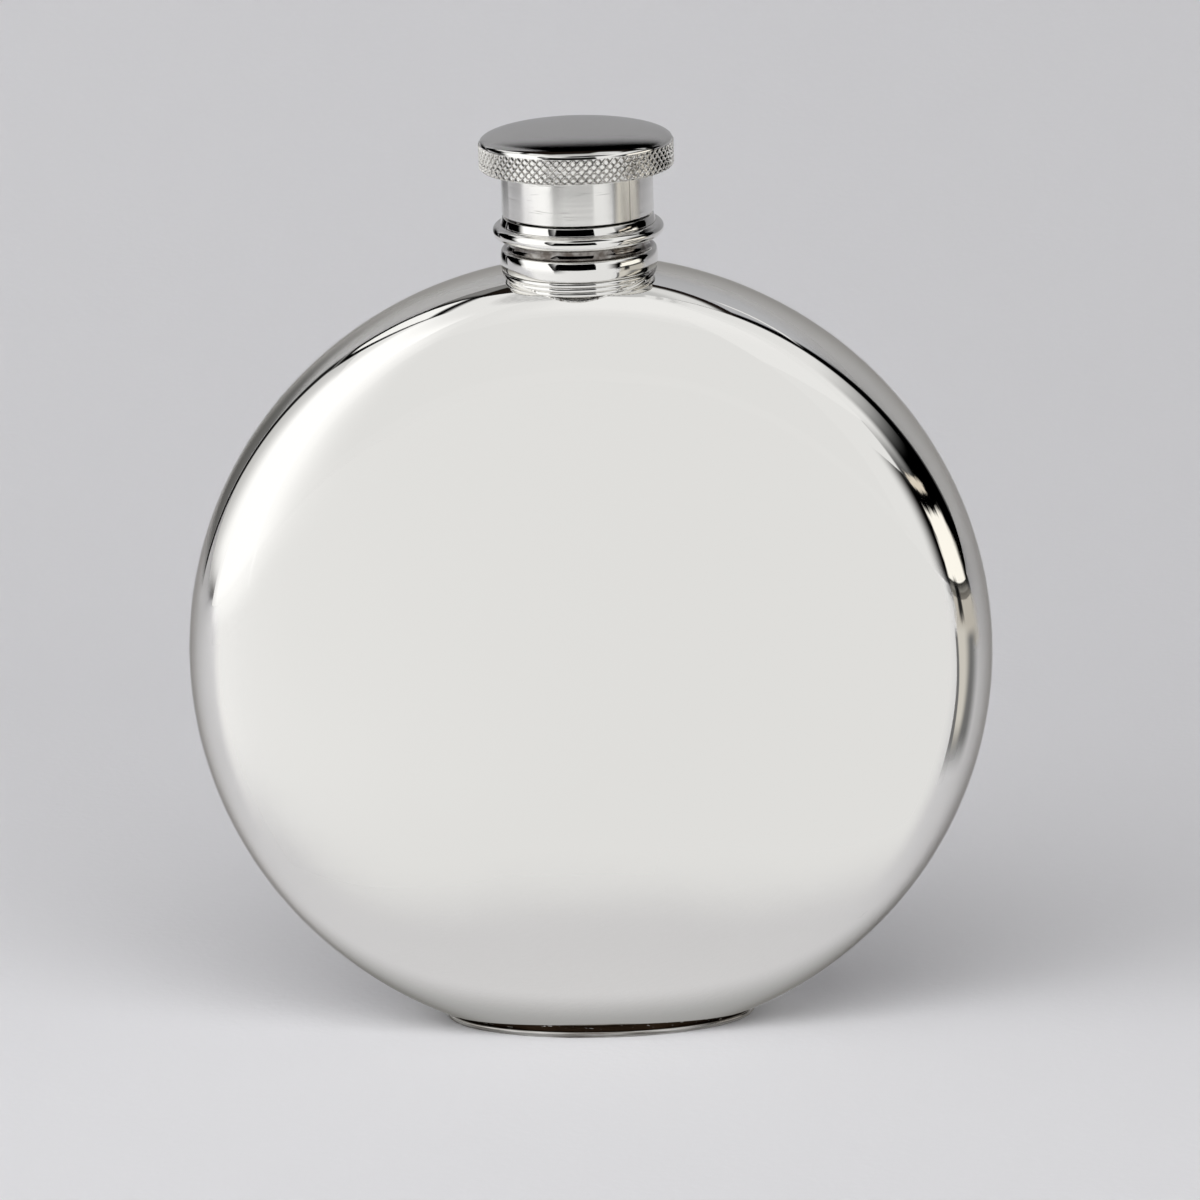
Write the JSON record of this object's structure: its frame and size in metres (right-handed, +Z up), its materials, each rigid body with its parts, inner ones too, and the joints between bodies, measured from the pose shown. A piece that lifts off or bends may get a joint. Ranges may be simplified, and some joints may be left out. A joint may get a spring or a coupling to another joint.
{
  "type": "hip flask",
  "caption": "Round pewter hip flask with gently crowned faces and a rounded rim, an oval foot, a beaded neck and a knurled screw cap.",
  "frame": {"origin": "on the axis of the neck at the underside of the foot", "axes": "+Z up along the neck, +Y from the front face to the back face, +X to the right seen from the front"},
  "size_m": [0.105, 0.0266, 0.1197],
  "materials": {
    "polished_pewter": "polished",
    "neck_pewter": "polished",
    "knurled_pewter": "polished, knurled rim",
    "satin_pewter": "turned satin",
    "cork": "matt"
  },
  "bodies": {
    "flask": {"front_shell": "polished_pewter", "back_shell": "polished_pewter", "foot_plate": "polished_pewter", "neck_collar": "neck_pewter", "neck_spout": "neck_pewter"},
    "liner": {"cap_liner": "cork"},
    "cap": {"cap_crown": "knurled_pewter", "cap_sleeve": "satin_pewter"}
  },
  "joints": [
    {"name": "cap_rise", "type": "slide", "parent": "flask", "child": "liner", "axis": [0, 0, 1], "range_m": [0, 0.006]},
    {"name": "cap_turn", "type": "hinge", "parent": "liner", "child": "cap", "pos_m": [0, 0, 0.112], "axis": [0, 0, 1], "range_deg": [0, 1080]}
  ],
  "couplings": [
    {"joint": "cap_rise", "follows": "cap_turn", "m_per_rad": 0.00031831}
  ]
}
